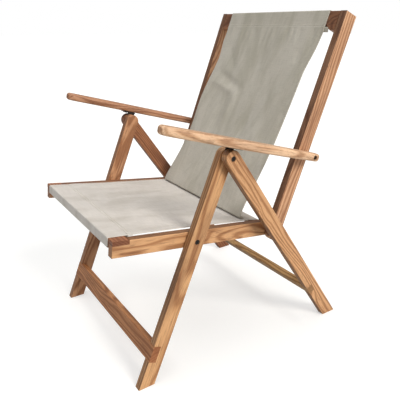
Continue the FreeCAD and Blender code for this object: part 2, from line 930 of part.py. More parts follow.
def make_bracket(name, side):
    """A steel angle: the ear hangs on the leg-top bolt, the flange is screwed to the arm."""
    body = new_body("arm_bracket_" + name)
    set_place(body, zero, arm_frame.origin, arm_frame.tilt)
    ear = new_sketch(body, body.Label + "_ear", offset=ear_in * side)
    half_ear = size("bracket_ear_width") / 2
    draw_outline(
        ear,
        [
            (bracket_u - half_ear, bracket_v),
            (bracket_u + half_ear, bracket_v),
            (bracket_u + half_ear, arm_under - fit),
            (bracket_u - half_ear, arm_under - fit),
        ],
        {0: ((bracket_u, bracket_v), "y", "counter")},
    )
    pad(body, ear, size("bracket_steel"), side)
    flange = new_sketch(body, body.Label + "_flange", offset=ear_in * side)
    flange_front = bracket_u - size("bracket_flange_ahead")
    flange_rear = bracket_u + size("bracket_flange_behind")
    draw_outline(
        flange,
        [
            (flange_front, flange_under),
            (flange_rear, flange_under),
            (flange_rear, arm_under - fit),
            (flange_front, arm_under - fit),
        ],
    )
    pad(body, flange, size("bracket_flange_width"), side)
    bolt_place = (bracket_u, bracket_v)
    drill(body, "bolt_hole", bolt_place, hole_radius, size("bracket_steel") * 2, ear_in * side)
    holes = new_sketch(body, body.Label + "_screw_holes", "XY_Plane", offset=arm_under)
    for x in screw_places.values():
        draw_circle(holes, (x * side, screw_u), screw_radius + size("running_fit"))
    pocket(body, holes, size("bracket_steel") * 2)
    return body


def make_bracket_screws(name, side):
    """Pan-head wood screws up through the flange into the arm."""
    screws = []
    under = flange_under - fit
    head_height = size("screw_head_height")
    shank_start = arm_frame.point(screw_u, under - fit)
    head_start = arm_frame.point(screw_u, under - head_height)
    for label, x in screw_places.items():
        stem = "screw_%s_%s" % (name, label)
        shank = cylinder(
            stem + "_shank",
            screw_radius,
            size("screw_length") - fit,
            (x * side, *shank_start),
            "v",
            arm_frame.tilt,
        )
        head = cylinder(
            stem + "_head",
            size("screw_head_diameter") / 2,
            head_height,
            (x * side, *head_start),
            "v",
            arm_frame.tilt,
        )
        screw = doc.addObject("Part::Fuse", stem)
        screw.Base, screw.Tool = head, shank
        screws.append(screw)
    return group("arm_bracket_screws_" + name, screws)


for name, side in SIDES:
    keep(make_armrest(name, side), make_bracket(name, side), make_bracket_screws(name, side))

# ---- bolts, nuts, washers and inserts ------------------------------------------------------

head_radius = size("head_diameter") / 2
head = size("head_thickness")


def make_bolt(label, side, place, tip, seat, head_inside=False):
    """A round-headed bolt along X from its tip to the seat under its head."""
    if head_inside:
        steps = [(seat - head, seat, head_radius), (seat, tip, bolt_radius)]
        face = seat - head
    else:
        steps = [(tip, seat, bolt_radius), (seat, seat + head, head_radius)]
        face = seat + head
    body = turned(label, side, place, steps)
    hex_socket(body, side, face)
    return body


def make_ring(label, side, place, start, length, radius):
    """A plain round nut, washer or insert on a bolt."""
    return turned(label, side, place, [(start, start + length, radius)], hole_radius)


washer_rest = (size("washer_gap") - size("washer_thickness")) / 2
nut_radius = size("nut_diameter") / 2
washer_radius = size("washer_diameter") / 2
rings = {"leg_pivot_inserts": [], "seat_pivot_nuts": [], "back_pivot_nuts": []}
rings.update({"seat_pivot_washers": [], "back_pivot_washers": [], "arm_pivot_washers": []})
rings["arm_pivot_inserts"] = []


def add_ring(node, name, side, place, start, length, radius):
    ring = make_ring("%s_%s" % (node, name), side, place, start, length, radius)
    rings[node].append(ring)


insert_in = leg_out - size("insert_length")

for name, side in SIDES:
    keep(
        make_bolt(
            "leg_pivot_bolt_" + name,
            side,
            leg_pivot,
            insert_in + fit,
            rear_out - size("recess_depth"),
        ),
        make_bolt(
            "seat_pivot_bolt_" + name, side, seat_pivot, rail_in + fit, leg_out - size("recess_depth")
        ),
        make_bolt(
            "back_pivot_bolt_" + name,
            side,
            back_pivot,
            rear_in + size("groove_depth") - size("groove_end_gap"),
            rail_in + head,
            head_inside=True,
        ),
        make_bolt(
            "arm_pivot_bolt_" + name,
            side,
            arm_pivot,
            insert_in + fit,
            arm_out - size("arm_recess_depth"),
        ),
    )
    nut, thin = size("nut_thickness"), size("thin_nut_thickness")
    washer, insert = size("washer_thickness"), size("insert_length")
    thin_rest = (size("bracket_gap") - thin) / 2
    add_ring("seat_pivot_nuts", name, side, seat_pivot, rail_in, nut, nut_radius)
    add_ring("back_pivot_nuts", name, side, back_pivot, leg_out + thin_rest, thin, nut_radius)
    add_ring(
        "seat_pivot_washers", name, side, seat_pivot, rail_out + washer_rest, washer, washer_radius
    )
    add_ring(
        "back_pivot_washers", name, side, back_pivot, rail_out + washer_rest, washer, washer_radius
    )
    add_ring(
        "arm_pivot_washers", name, side, arm_pivot, leg_out + washer_rest, washer, washer_radius
    )
    insert_radius = size("insert_diameter") / 2
    add_ring("leg_pivot_inserts", name, side, leg_pivot, insert_in, insert, insert_radius)
    add_ring("arm_pivot_inserts", name, side, arm_pivot, insert_in, insert, insert_radius)

for node, members in rings.items():
    keep(group(node, members))

# ---- dowels hidden in the timber joints ----------------------------------------------------


def lap_dowels(label, frame, x, v, u):
    rods = []
    for name, side in SIDES:
        start = frame.point(u - dowel_depth, v)
        rods.append(
            cylinder(
                "%s_%s" % (label, name),
                dowel_radius,
                dowel_depth * 2,
                (x * side, *start),
                "u",
                frame.tilt,
            )
        )
    return group(label, rods)


def front_rail_dowels():
    rods = []
    for name, side in SIDES:
        start = seat_frame.point(front_rail_lap_u, lap_under - lap_dowel_depth)
        rods.append(
            cylinder(
                "front_rail_dowel_" + name,
                dowel_radius,
                lap_dowel_depth * 2,
                (front_rail_lap_x * side, *start),
                "v",
                seat_frame.tilt,
            )
        )
    return group("front_rail_dowels", rods)


def top_rail_dowels():
    rods = []
    for name, side in SIDES:
        for number, v in enumerate(top_dowel_places()):
            middle = leg_in * side
            rods.append(
                cylinder(
                    "top_rail_dowel_%s_%d" % (name, number),
                    dowel_radius,
                    (dowel_depth - fit) * 2,
                    (middle - dowel_depth + fit, *back_frame.point(top_dowel_u, v)),
                    "x",
                )
            )
    return group("top_rail_dowels", rods)


keep(
    lap_dowels(
        "front_stretcher_dowels", front_leg_frame, front_lap_x, front_lap_v, front_stretcher_high[0]
    ),
    lap_dowels(
        "rear_stretcher_dowels", rear_leg_frame, rear_lap_x, rear_lap_v, rear_stretcher_high[0]
    ),
    front_rail_dowels(),
    top_rail_dowels(),
)

# ---- sling ---------------------------------------------------------------------------------


def sleeve(label, frame, outer, inner, half_length):
    """A closed band of cloth round a bar, drawn as an outer and an inner outline."""
    body = new_body(label)
    set_place(body, zero, frame.origin, frame.tilt)
    sketch = new_sketch(body, label + "_section")
    draw_outline(sketch, outer)
    draw_outline(sketch, inner)
    pad(body, sketch, half_length * 2, 0)
    return body


def front_sleeve():
    gap = size("cloth_gap")
    top, under = half_width, front_rail_under
    seam = rail_front + size("sling_front_hem")
    inner = [
        (rail_front - gap, under - gap),
        (front_rail_rear + gap, under - gap),
        (seam - cloth * 2, top + gap),
        (rail_front - gap, top + gap),
    ]
    outer = [
        (rail_front - cloth_reach, under - cloth_reach),
        (front_rail_rear + cloth_reach, under - cloth_reach),
        (seam, top + gap),
        (seam, top + cloth_reach),
        (rail_front - cloth_reach, top + cloth_reach),
    ]
    return sleeve("sling_front_sleeve", seat_frame, outer, inner, size("sling_seat_width") / 2)


def top_sleeve():
    gap = size("cloth_gap")
    front, rear = stile_front, stile_front + stock
    inner = [
        (front - gap, top_rail_mid - gap),
        (rear + gap, top_rail_mid - gap),
        (rear + gap, stile_top + gap),
        (front - gap, stile_top + gap),
    ]
    outer = [
        (front - cloth_reach, top_rail_mid - cloth_reach),
        (rear + cloth_reach, top_rail_mid - cloth_reach),
        (rear + cloth_reach, stile_top + cloth_reach),
        (front - cloth_reach, stile_top + cloth_reach),
    ]
    return sleeve("sling_top_sleeve", back_frame, outer, inner, size("sling_back_width") / 2)


def rear_sleeve():
    body = new_body("sling_rear_sleeve")
    set_place(body, zero, seat_frame.origin, seat_frame.tilt)
    sketch = new_sketch(body, "rear_sleeve_section")
    draw_circle(sketch, rod_place, rod_radius + cloth_reach)
    draw_circle(sketch, rod_place, rod_radius + size("cloth_gap"))
    pad(body, sketch, size("sling_seat_width"), 0)
    return body


panel_edge = cloth / 2
crease = seat_frame.point(size("crease_behind"), half_width + size("cloth_gap") + panel_edge)
head_edge = back_frame.point(stile_front - size("cloth_gap") - panel_edge, top_rail_mid - cloth * 2)
rise_y, rise_z = head_edge[0] - crease[0], head_edge[1] - crease[1]
panel_length = Size(
    math.hypot(rise_y.value, rise_z.value), "sqrt(%s^2 + %s^2)" % (rise_y.text, rise_z.text)
)
panel_tilt = Size(
    -math.degrees(math.atan2(rise_y.value, rise_z.value)),
    "(-1 * atan(%s / %s))" % (rise_y.text, rise_z.text),
)
panel_frame = Frame(crease, panel_tilt)


def make_back_panel(label, low, high, width):
    return crossbar(
        label, panel_frame, (-panel_edge, low), (panel_edge, high), width / 2, rounded=False
    )


slack_end = panel_length * size("sling_rigid_share")
seat_panel = crossbar(
    "sling_seat",
    seat_frame,
    (rail_front + size("sling_front_hem") + fit, half_width + size("cloth_gap")),
    (rod_place[0], half_width + cloth_reach),
    size("sling_seat_width") / 2,
    rounded=False,
)
keep(
    seat_panel,
    front_sleeve(),
    rear_sleeve(),
    make_back_panel("sling_back_lower", cloth * 4, slack_end - fit, size("sling_crease_width")),
    make_back_panel("sling_back_upper", slack_end, panel_length, size("sling_back_width")),
    top_sleeve(),
)

# ---- test and write ------------------------------------------------------------------------

doc.recompute()
for item in doc.Objects:
    if "Invalid" in item.State or "Error" in item.State:
        raise RuntimeError("%s did not recompute: %s" % (item.Label, item.State))
for node in nodes:
    if node.Shape.isNull() or not node.Shape.isValid():
        raise RuntimeError("%s has no valid shape" % node.Label)

os.makedirs("parts", exist_ok=True)
for node in nodes:
    node.Shape.exportStep("parts/%s.step" % node.Label)


def pivot_line(label, place, side_x):
    print("%s y %.3f z %.3f x %.3f" % (label, place[0].value, place[1].value, side_x.value))


pivot_line("leg pivot", leg_pivot, rear_out)
pivot_line("seat pivot", seat_pivot, leg_out)
pivot_line("back pivot", back_pivot, leg_out)
pivot_line("arm pivot", arm_pivot, arm_out)
pivot_line("crease", crease, rail_in)
pivot_line("head edge", head_edge, rail_in)
print("groove", [round(item.value, 2) for item in (*groove_top, *groove_bottom)])
print("%d nodes" % len(nodes))
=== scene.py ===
"""Folding deck chair: finishes for its timber and hardware, and its canvas sling."""
import json
import math

import bmesh
import bpy
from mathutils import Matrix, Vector, noise


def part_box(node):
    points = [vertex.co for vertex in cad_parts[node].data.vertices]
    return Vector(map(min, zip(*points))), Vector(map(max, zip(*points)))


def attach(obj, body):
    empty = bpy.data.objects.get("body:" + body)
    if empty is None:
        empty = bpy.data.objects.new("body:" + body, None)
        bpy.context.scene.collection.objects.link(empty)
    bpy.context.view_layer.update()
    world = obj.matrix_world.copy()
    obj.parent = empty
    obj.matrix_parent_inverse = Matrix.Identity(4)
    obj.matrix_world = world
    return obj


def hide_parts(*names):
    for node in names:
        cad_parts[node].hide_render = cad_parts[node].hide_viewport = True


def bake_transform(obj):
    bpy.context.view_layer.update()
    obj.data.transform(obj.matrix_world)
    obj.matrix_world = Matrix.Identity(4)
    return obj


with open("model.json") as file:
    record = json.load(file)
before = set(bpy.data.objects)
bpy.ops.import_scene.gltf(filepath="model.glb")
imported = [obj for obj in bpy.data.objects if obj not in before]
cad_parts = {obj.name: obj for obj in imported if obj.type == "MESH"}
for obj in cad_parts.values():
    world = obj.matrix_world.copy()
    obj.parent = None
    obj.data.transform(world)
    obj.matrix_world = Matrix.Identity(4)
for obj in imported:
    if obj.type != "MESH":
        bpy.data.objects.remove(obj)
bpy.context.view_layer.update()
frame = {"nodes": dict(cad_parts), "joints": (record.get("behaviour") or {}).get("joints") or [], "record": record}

# Metres and radians. +X is the sitter's left, the sitter faces -Y.

nodes = frame["nodes"]
joints = {joint["name"]: joint for joint in frame["joints"]}
scene = bpy.context.scene


# ---- camera, light and floor ---------------------------------------------------------------


def make_camera():
    data = bpy.data.cameras.new("viewpoint")
    data.lens = 41.68
    data.sensor_width = 36.0
    data.shift_x = -0.0164
    data.shift_y = 0.0102
    camera = bpy.data.objects.new("viewpoint", data)
    scene.collection.objects.link(camera)
    camera.location = (1.1322, -0.7006, 0.8669)
    camera.rotation_euler = (math.radians(90 - 21.16), 0.0, math.radians(56.09))
    scene.camera = camera


def soft_sun(name, towards, spread, power, colour):
    """Even light from one direction: towards points from the chair to the light."""
    data = bpy.data.lights.new(name, "SUN")
    data.energy = power
    data.angle = math.radians(spread)
    data.color = colour
    lamp = bpy.data.objects.new(name, data)
    scene.collection.objects.link(lamp)
    lamp.rotation_euler = Vector(towards).to_track_quat("Z", "Y").to_euler()


def light_studio():
    """White to look at, dimmer as ambient light, with a side key light and an overhead one."""
    world = bpy.data.worlds.new("studio")
    world.use_nodes = True
    tree = world.node_tree
    ambient = tree.nodes["Background"]
    ambient.inputs["Color"].default_value = (0.97, 0.985, 1.0, 1.0)
    ambient.inputs["Strength"].default_value = 0.31
    seen = tree.nodes.new("ShaderNodeBackground")
    seen.inputs["Color"].default_value = (1.0, 1.0, 1.0, 1.0)
    rays = tree.nodes.new("ShaderNodeLightPath")
    either = tree.nodes.new("ShaderNodeMixShader")
    tree.links.new(rays.outputs["Is Camera Ray"], either.inputs[0])
    tree.links.new(ambient.outputs[0], either.inputs[1])
    tree.links.new(seen.outputs[0], either.inputs[2])
    tree.links.new(either.outputs[0], tree.nodes["World Output"].inputs["Surface"])
    scene.world = world
    scene.view_settings.view_transform = "Standard"
    soft_sun("side_window", (0.82, 0.18, 0.52), 24.0, 2.35, (1.0, 0.955, 0.90))
    soft_sun("overhead", (-0.12, -0.16, 0.96), 60.0, 1.5, (1.0, 0.99, 0.98))


def make_floor():
    mesh = bpy.data.meshes.new("floor")
    reach = 40.0
    corners = [(-reach, -reach, 0), (reach, -reach, 0), (reach, reach, 0), (-reach, reach, 0)]
    mesh.from_pydata(corners, [], [(0, 1, 2, 3)])
    floor = bpy.data.objects.new("floor", mesh)
    scene.collection.objects.link(floor)
    material = bpy.data.materials.new("pale floor")
    material.use_nodes = True
    shader = material.node_tree.nodes["Principled BSDF"]
    shader.inputs["Base Color"].default_value = (0.62, 0.62, 0.61, 1.0)
    shader.inputs["Roughness"].default_value = 0.9
    shader.inputs["Specular IOR Level"].default_value = 0.0
    rays = material.node_tree.nodes.new("ShaderNodeLightPath")
    glow = material.node_tree.nodes.new("ShaderNodeMath")
    glow.operation = "MULTIPLY"
    glow.inputs[1].default_value = 0.48
    material.node_tree.links.new(rays.outputs["Is Camera Ray"], glow.inputs[0])
    shader.inputs["Emission Color"].default_value = (1.0, 1.0, 1.0, 1.0)
    material.node_tree.links.new(glow.outputs[0], shader.inputs["Emission Strength"])
    mesh.materials.append(material)


make_camera()
light_studio()
make_floor()

# ---- node helpers --------------------------------------------------------------------------


class Graph:
    """Short calls for building a material's or a group's nodes."""

    def __init__(self, tree):
        self.tree = tree

    def node(self, kind, values=None, **settings):
        made = self.tree.nodes.new(kind)
        for name, value in settings.items():
            setattr(made, name, value)
        for name, value in (values or {}).items():
            if isinstance(value, bpy.types.NodeSocket):
                self.tree.links.new(value, made.inputs[name])
            else:
                made.inputs[name].default_value = value
        return made

    def math(self, operation, first, second=0.0, third=0.0):
        made = self.node(
            "ShaderNodeMath", {0: first, 1: second, 2: third}, operation=operation
        )
        return made.outputs[0]

    def vector_math(self, operation, first, second=(0.0, 0.0, 0.0)):
        made = self.node("ShaderNodeVectorMath", {0: first, 1: second}, operation=operation)
        return made.outputs["Value" if operation == "DOT_PRODUCT" else "Vector"]

    def noise(self, vector, scale, detail=3.0, roughness=0.5, distortion=0.0):
        values = {
            "Vector": vector,
            "Scale": scale,
            "Detail": detail,
            "Roughness": roughness,
            "Distortion": distortion,
        }
        return self.node("ShaderNodeTexNoise", values).outputs["Fac"]

    def step(self, value, low, high):
        """0 below low, 1 above high, smooth between; low may be the larger."""
        values = {"Value": value, "From Min": low, "From Max": high}
        made = self.node("ShaderNodeMapRange", values, interpolation_type="SMOOTHSTEP")
        return made.outputs["Result"]

    def mix(self, factor, first, second, blend="MIX"):
        made = self.node("ShaderNodeMix", data_type="RGBA", blend_type=blend)
        for index, value in ((0, factor), (6, first), (7, second)):
            if isinstance(value, bpy.types.NodeSocket):
                self.tree.links.new(value, made.inputs[index])
            else:
                made.inputs[index].default_value = value
        return made.outputs[2]


def new_group(name, inputs, outputs):
    """A shader group: inputs are (name, socket kind, default), outputs are (name, socket kind)."""
    tree = bpy.data.node_groups.new(name, "ShaderNodeTree")
    for label, kind, default in inputs:
        socket = tree.interface.new_socket(label, in_out="INPUT", socket_type=kind)
        if default is not None:
            socket.default_value = default
    for label, kind in outputs:
        tree.interface.new_socket(label, in_out="OUTPUT", socket_type=kind)
    graph = Graph(tree)
    entry = graph.node("NodeGroupInput")
    exit_node = graph.node("NodeGroupOutput")
    return tree, graph, entry.outputs, exit_node.inputs


def new_material(name):
    material = bpy.data.materials.new(name)
    material.use_nodes = True
    graph = Graph(material.node_tree)
    shader = material.node_tree.nodes["Principled BSDF"]
    return material, graph, shader


# ---- shared shader groups ------------------------------------------------------------------


def make_timber_figure():
    """Growth bands, streaks, pores and knots of a board whose length lies along Z."""
    tree, graph, given, result = new_group(
        "timber figure",
        [
            ("Vector", "NodeSocketVector", None),
            ("Band Scale", "NodeSocketFloat", 26.0),
            ("Knot Share", "NodeSocketFloat", 0.8),
        ],
        [
            ("Bands", "NodeSocketFloat"),
            ("Streaks", "NodeSocketFloat"),
            ("Pores", "NodeSocketFloat"),
            ("Knots", "NodeSocketFloat"),
            ("Patches", "NodeSocketFloat"),
        ],
    )
    place = given["Vector"]
    cell_place = graph.vector_math("MULTIPLY", place, (13.0, 13.0, 6.5))
    cells = graph.node("ShaderNodeTexVoronoi", {"Vector": cell_place, "Scale": 1.0})
    chosen = graph.node("ShaderNodeSeparateColor", {"Color": cells.outputs["Color"]})
    has_knot = graph.math("GREATER_THAN", chosen.outputs["Red"], given["Knot Share"])
    near = graph.step(cells.outputs["Distance"], 0.42, 0.04)
    core = graph.step(cells.outputs["Distance"], 0.17, 0.07)
    swirl = graph.math("MULTIPLY", near, has_knot)
    knots = graph.math("MULTIPLY", core, has_knot)
    slow_place = graph.vector_math("MULTIPLY", place, (9.0, 9.0, 1.7))
    wander = graph.noise(slow_place, 1.0, 2.0, 0.5)
    bent = graph.math("MULTIPLY_ADD", wander, 0.09, graph.math("MULTIPLY", swirl, 0.016))
    offset = graph.node("ShaderNodeCombineXYZ", {"X": bent, "Y": bent})
    warped = graph.vector_math("ADD", place, offset.outputs["Vector"])
    band_place = graph.vector_math("MULTIPLY", warped, (1.0, 1.0, 0.045))
    values = {
        "Vector": band_place,
        "Scale": given["Band Scale"],
        "Distortion": 1.5,
        "Detail": 3.0,
        "Detail Scale": 2.2,
        "Detail Roughness": 0.6,
    }
    wave = graph.node(
        "ShaderNodeTexWave",
        values,
        wave_type="RINGS",
        rings_direction="Z",
        wave_profile="SIN",
    )
    streak_place = graph.vector_math("MULTIPLY", warped, (240.0, 240.0, 5.5))
    streaks = graph.noise(streak_place, 1.0, 4.0, 0.6)
    pore_place = graph.vector_math("MULTIPLY", place, (900.0, 900.0, 42.0))
    pores = graph.step(graph.noise(pore_place, 1.0, 1.0, 0.4), 0.60, 0.72)
    patch_place = graph.vector_math("MULTIPLY", place, (16.0, 16.0, 3.2))
    patches = graph.noise(patch_place, 1.0, 2.0, 0.5)
    link = tree.links.new
    link(wave.outputs["Fac"], result["Bands"])
    link(streaks, result["Streaks"])
    link(pores, result["Pores"])
    link(knots, result["Knots"])
    link(patches, result["Patches"])
    return tree


def make_cut_faces():
    """Where a board shows end grain, where its edges have been eased and rubbed, and its faces across the laid Y,
    which the timber finish paints darker as painted shade.
    """
    tree, graph, given, result = new_group(
        "cut faces",
        [("Normal", "NodeSocketVector", None), ("Vector", "NodeSocketVector", None)],
        [
            ("End Grain", "NodeSocketFloat"),
            ("Edges", "NodeSocketFloat"),
            ("Shaded Face", "NodeSocketFloat"),
        ],
    )
    size = graph.vector_math("ABSOLUTE", given["Normal"])
    parts = graph.node("ShaderNodeSeparateXYZ", {"Vector": size})
    across = graph.math("MAXIMUM", parts.outputs["X"], parts.outputs["Y"])
    flat = graph.math("MAXIMUM", across, parts.outputs["Z"])
    end_grain = graph.step(parts.outputs["Z"], 0.80, 0.95)
    rounded = graph.step(flat, 0.985, 0.85)
    rubbed = graph.noise(given["Vector"], 70.0, 3.0, 0.6)
    edges = graph.math("MULTIPLY", rounded, graph.step(rubbed, 0.30, 0.62))
    # Painted shade mask: the faces across the laid Y, which the timber finish darkens.
    shaded_face = graph.step(parts.outputs["Y"], 0.55, 0.85)
    tree.links.new(end_grain, result["End Grain"])
    tree.links.new(edges, result["Edges"])
    tree.links.new(shaded_face, result["Shaded Face"])
    return tree


def make_canvas_weave():
    """Plain-weave threads, slubs and soft soiling of cotton canvas."""
    tree, graph, given, result = new_group(
        "canvas weave",
        [
            ("Vector", "NodeSocketVector", None),
            ("Threads Per Metre", "NodeSocketFloat", 1150.0),
        ],
        [
            ("Weave", "NodeSocketFloat"),
            ("Slubs", "NodeSocketFloat"),
            ("Soiling", "NodeSocketFloat"),
        ],
    )
    place = graph.node("ShaderNodeSeparateXYZ", {"Vector": given["Vector"]})
    across = place.outputs["X"]
    along = graph.math("ADD", place.outputs["Y"], place.outputs["Z"])
    turn = graph.math("MULTIPLY", given["Threads Per Metre"], math.pi)
    warp = graph.math("SINE", graph.math("MULTIPLY", across, turn))
    weft = graph.math("SINE", graph.math("MULTIPLY", along, turn))
    weave = graph.math("MULTIPLY_ADD", graph.math("MULTIPLY", warp, weft), 0.5, 0.5)
    flat_place = graph.node("ShaderNodeCombineXYZ", {"X": across, "Y": along}).outputs["Vector"]
    warp_slubs = graph.noise(
        graph.vector_math("MULTIPLY", flat_place, (620.0, 26.0, 1.0)), 1.0, 3.0, 0.6
    )
    weft_slubs = graph.noise(
        graph.vector_math("MULTIPLY", flat_place, (24.0, 560.0, 1.0)), 1.0, 3.0, 0.6
    )
    slubs = graph.math("MULTIPLY_ADD", graph.math("ADD", warp_slubs, weft_slubs), 0.5, 0.0)
    soiled_place = graph.vector_math("MULTIPLY", given["Vector"], (2.4, 0.75, 0.75))
    soiling = graph.noise(soiled_place, 7.0, 4.0, 0.6, 0.6)
    tree.links.new(weave, result["Weave"])
    tree.links.new(slubs, result["Slubs"])
    tree.links.new(soiling, result["Soiling"])
    return tree


def make_metal_wear():
    """Fine scuffs and slightly brighter patches on small hardware."""
    tree, graph, given, result = new_group(
        "metal wear",
        [("Vector", "NodeSocketVector", None)],
        [("Scuffs", "NodeSocketFloat"), ("Blotches", "NodeSocketFloat")],
    )
    scuffs = graph.noise(given["Vector"], 900.0, 4.0, 0.7)
    blotches = graph.noise(given["Vector"], 160.0, 3.0, 0.6)
    tree.links.new(graph.step(scuffs, 0.52, 0.68), result["Scuffs"])
    tree.links.new(blotches, result["Blotches"])
    return tree


TIMBER_FIGURE = make_timber_figure()
CUT_FACES = make_cut_faces()
CANVAS_WEAVE = make_canvas_weave()
METAL_WEAR = make_metal_wear()

# ---- timber --------------------------------------------------------------------------------


def grain_turn(tilt, along):
    """Turn that lays a board's length on Z: along is the board's own axis before its tilt."""
    if along == "x":
        return (-tilt, -math.pi / 2, 0.0)
    if along == "y":
        return (math.pi / 2 - tilt, 0.0, 0.0)
    return (-tilt, 0.0, 0.0)


RINGS_PER_BAND = 1.6
# Painted shade: a dark colour multiplied onto the faces across a board's laid Y.
FACE_SHADE_COLOUR = (0.34, 0.29, 0.27, 1.0)


def oiled_timber(name, tilt, along, shift, tone, bands, knots, face_shade):
    """Oiled hardwood for one board. shift picks its place in the log, and the last argument is how much
    darker painted shade makes its faces across the laid Y."""
    material, graph, shader = new_material(name)
    coordinates = graph.node("ShaderNodeTexCoord")
    turn = grain_turn(tilt, along)
    laid = graph.node(
        "ShaderNodeMapping",
        {"Vector": coordinates.outputs["Object"], "Rotation": turn, "Location": shift},
    ).outputs["Vector"]
    facing = graph.node(
        "ShaderNodeMapping",
        {"Vector": coordinates.outputs["Normal"], "Rotation": turn},
        vector_type="VECTOR",
    ).outputs["Vector"]
    figure = graph.node("ShaderNodeGroup", {}, node_tree=TIMBER_FIGURE)
    graph.tree.links.new(laid, figure.inputs["Vector"])
    figure.inputs["Band Scale"].default_value = bands * RINGS_PER_BAND
    figure.inputs["Knot Share"].default_value = knots
    cut = graph.node("ShaderNodeGroup", {}, node_tree=CUT_FACES)
    graph.tree.links.new(facing, cut.inputs["Normal"])
    graph.tree.links.new(laid, cut.inputs["Vector"])

    def shade(red, green, blue):
        return (red * tone[0], green * tone[1], blue * tone[2], 1.0)

    light, honey = shade(0.67, 0.385, 0.192), shade(0.470, 0.232, 0.100)
    brown, dark = shade(0.205, 0.082, 0.034), shade(0.060, 0.025, 0.012)
    banded = graph.mix(graph.step(figure.outputs["Bands"], 0.15, 0.95), light, honey)
    patched = graph.mix(graph.step(figure.outputs["Patches"], 0.42, 0.72), banded, brown)
    patchy = graph.math("MULTIPLY", 0.65, graph.step(figure.outputs["Patches"], 0.35, 0.8))
    toned = graph.mix(patchy, banded, patched)
    late_wood = graph.math("MULTIPLY", graph.step(figure.outputs["Bands"], 0.72, 0.98), 0.30)
    lined = graph.mix(late_wood, toned, brown)
    streaky = graph.math("MULTIPLY", graph.step(figure.outputs["Streaks"], 0.50, 0.70), 0.68)
    streaked = graph.mix(streaky, lined, brown)
    pored = graph.mix(graph.math("MULTIPLY", figure.outputs["Pores"], 0.45), streaked, dark)
    knotted = graph.mix(graph.math("MULTIPLY", figure.outputs["Knots"], 0.85), pored, dark)
    ended = graph.mix(graph.math("MULTIPLY", cut.outputs["End Grain"], 0.62), knotted, brown)
    # Painted shade: the faces across the laid Y are multiplied darker.
    face_shade_share = graph.math("MULTIPLY", cut.outputs["Shaded Face"], face_shade)
    face_shaded = graph.mix(face_shade_share, ended, FACE_SHADE_COLOUR, "MULTIPLY")
    worn = graph.mix(graph.math("MULTIPLY", cut.outputs["Edges"], 0.34), face_shaded, light)
    graph.tree.links.new(worn, shader.inputs["Base Color"])
    rough = graph.math("MULTIPLY_ADD", figure.outputs["Streaks"], 0.22, 0.38)
    graph.tree.links.new(rough, shader.inputs["Roughness"])
    shader.inputs["Specular IOR Level"].default_value = 0.42
    raised = graph.math("MULTIPLY", figure.outputs["Streaks"], 0.6)
    height = graph.math("SUBTRACT", raised, figure.outputs["Pores"])
    bump = graph.node("ShaderNodeBump", {"Height": height, "Strength": 0.22, "Distance": 0.0004})
    graph.tree.links.new(bump.outputs["Normal"], shader.inputs["Normal"])
    return material


def finish_node(node, material):
    mesh = nodes[node].data
    mesh.materials.clear()
    mesh.materials.append(material)


def lean(start, end):
    """Angle about X that turns upright onto the way from start to end."""
    return math.atan2(-(end[1] - start[1]), end[2] - start[2])


seat_pivot = Vector(joints["seat_fold"]["pos_m"])
back_pivot = Vector(joints["back_fold"]["pos_m"])
leg_pivot = Vector(joints["rear_leg_swing"]["pos_m"])
mounts = {mount["name"]: mount["pos_m"] for mount in frame["record"]["mounts"]}
BACK_LEAN = 21.6                   # degrees
ARM_FALL = 15.6                    # degrees
front_tilt = lean(seat_pivot, leg_pivot)
rear_tilt = lean(mounts["rear_foot_left"], leg_pivot)
seat_tilt = math.atan2(back_pivot[2] - seat_pivot[2], back_pivot[1] - seat_pivot[1])
back_tilt = -math.radians(BACK_LEAN)
arm_tilt = -math.radians(ARM_FALL)

PLAIN = (1.0, 0.97, 0.94)
GREENISH = (0.92, 0.98, 0.86)
# Painted shade: the darker reddish tone of the far right-hand front leg and seat rail.
SHADED_REDDISH = (0.80, 0.72, 0.74)
# Painted light: the pale tone of the near left arm.
LIT_PALE = (1.26, 1.46, 1.84)
